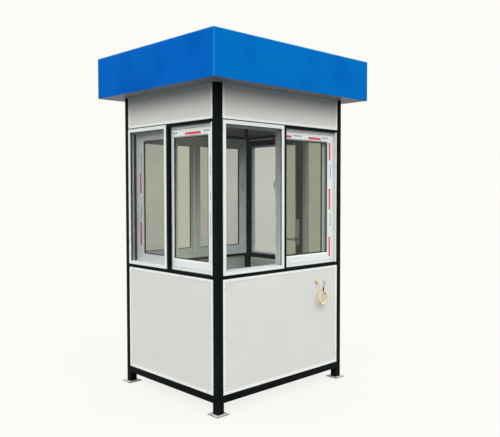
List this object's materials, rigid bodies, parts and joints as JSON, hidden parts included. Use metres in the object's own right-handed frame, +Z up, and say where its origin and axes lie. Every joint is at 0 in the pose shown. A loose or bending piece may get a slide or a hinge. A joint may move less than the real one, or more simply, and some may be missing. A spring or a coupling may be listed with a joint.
{
  "type": "security guard booth",
  "caption": "One-person guard booth with a black steel frame, white panels, sliding windows, a hinged door and a deep blue fascia roof.",
  "frame": {"origin": "centre of the booth's outline at the underside of its base plates", "axes": "+Z up, +X to the right along the front wall seen from outside, -Y towards the front"},
  "size_m": [1.5, 1.34, 2.4],
  "materials": {
    "frame_black": "semi-gloss",
    "plate_zinc": "dull zinc",
    "panel_white": "satin",
    "trim_white": "satin",
    "window_white": "semi-gloss",
    "clear_glass": "clear",
    "screen_grey": "woven",
    "fascia_blue": "semi-gloss",
    "floor_board": "plain board",
    "desk_board": "satin board",
    "lock_steel": "brushed",
    "grommet_rubber": "matte",
    "cable_yellow": "matte",
    "tape_black": "matte"
  },
  "bodies": {
    "booth": {"post_front_left": "frame_black", "post_front_right": "frame_black", "post_back_left": "frame_black", "post_back_right": "frame_black", "base_rails": "frame_black", "sill_rails": "frame_black", "header_rails": "frame_black", "mullions": "frame_black", "door_jamb": "frame_black", "post_hinges": "frame_black", "base_plates": "plate_zinc", "lower_panel_front": "panel_white", "upper_panel_front": "panel_white", "fascia_front": "fascia_blue", "lower_panel_left": "panel_white", "upper_panel_left": "panel_white", "fascia_left": "fascia_blue", "lower_panel_back": "panel_white", "upper_panel_back": "panel_white", "fascia_back": "fascia_blue", "lower_panel_right": "panel_white", "upper_panel_right": "panel_white", "fascia_right": "fascia_blue", "lower_panel_trims": "trim_white", "upper_panel_trims": "trim_white", "window_frame_front": "window_white", "outer_sash_front": "window_white", "inner_sash_front": "window_white", "window_frame_left": "window_white", "outer_sash_left": "window_white", "inner_sash_left": "window_white", "window_frame_back": "window_white", "outer_sash_back": "window_white", "inner_sash_back": "window_white", "window_latches": "window_white", "screen_frames": "window_white", "sidelight_frame": "window_white", "window_glass": "clear_glass", "sidelight_glass": "clear_glass", "screen_mesh": "screen_grey", "roof_panel": "panel_white", "floor_panel": "floor_board", "desk_top": "desk_board", "desk_cleats": "desk_board", "cable_grommet": "grommet_rubber", "cable_lead": "cable_yellow", "cable_coil": "cable_yellow", "cable_end": "tape_black"},
    "door": {"door_frame": "frame_black", "door_glass": "clear_glass", "door_beads": "window_white", "door_panel": "panel_white", "door_panel_trims": "trim_white", "door_lock": "lock_steel", "door_hinges": "frame_black"}
  },
  "joints": [
    {"name": "door_hinge", "type": "hinge", "parent": "booth", "child": "door", "pos_m": [0.622, 0.4775, 1], "axis": [0, 0, 1], "range_deg": [0, 100]}
  ]
}
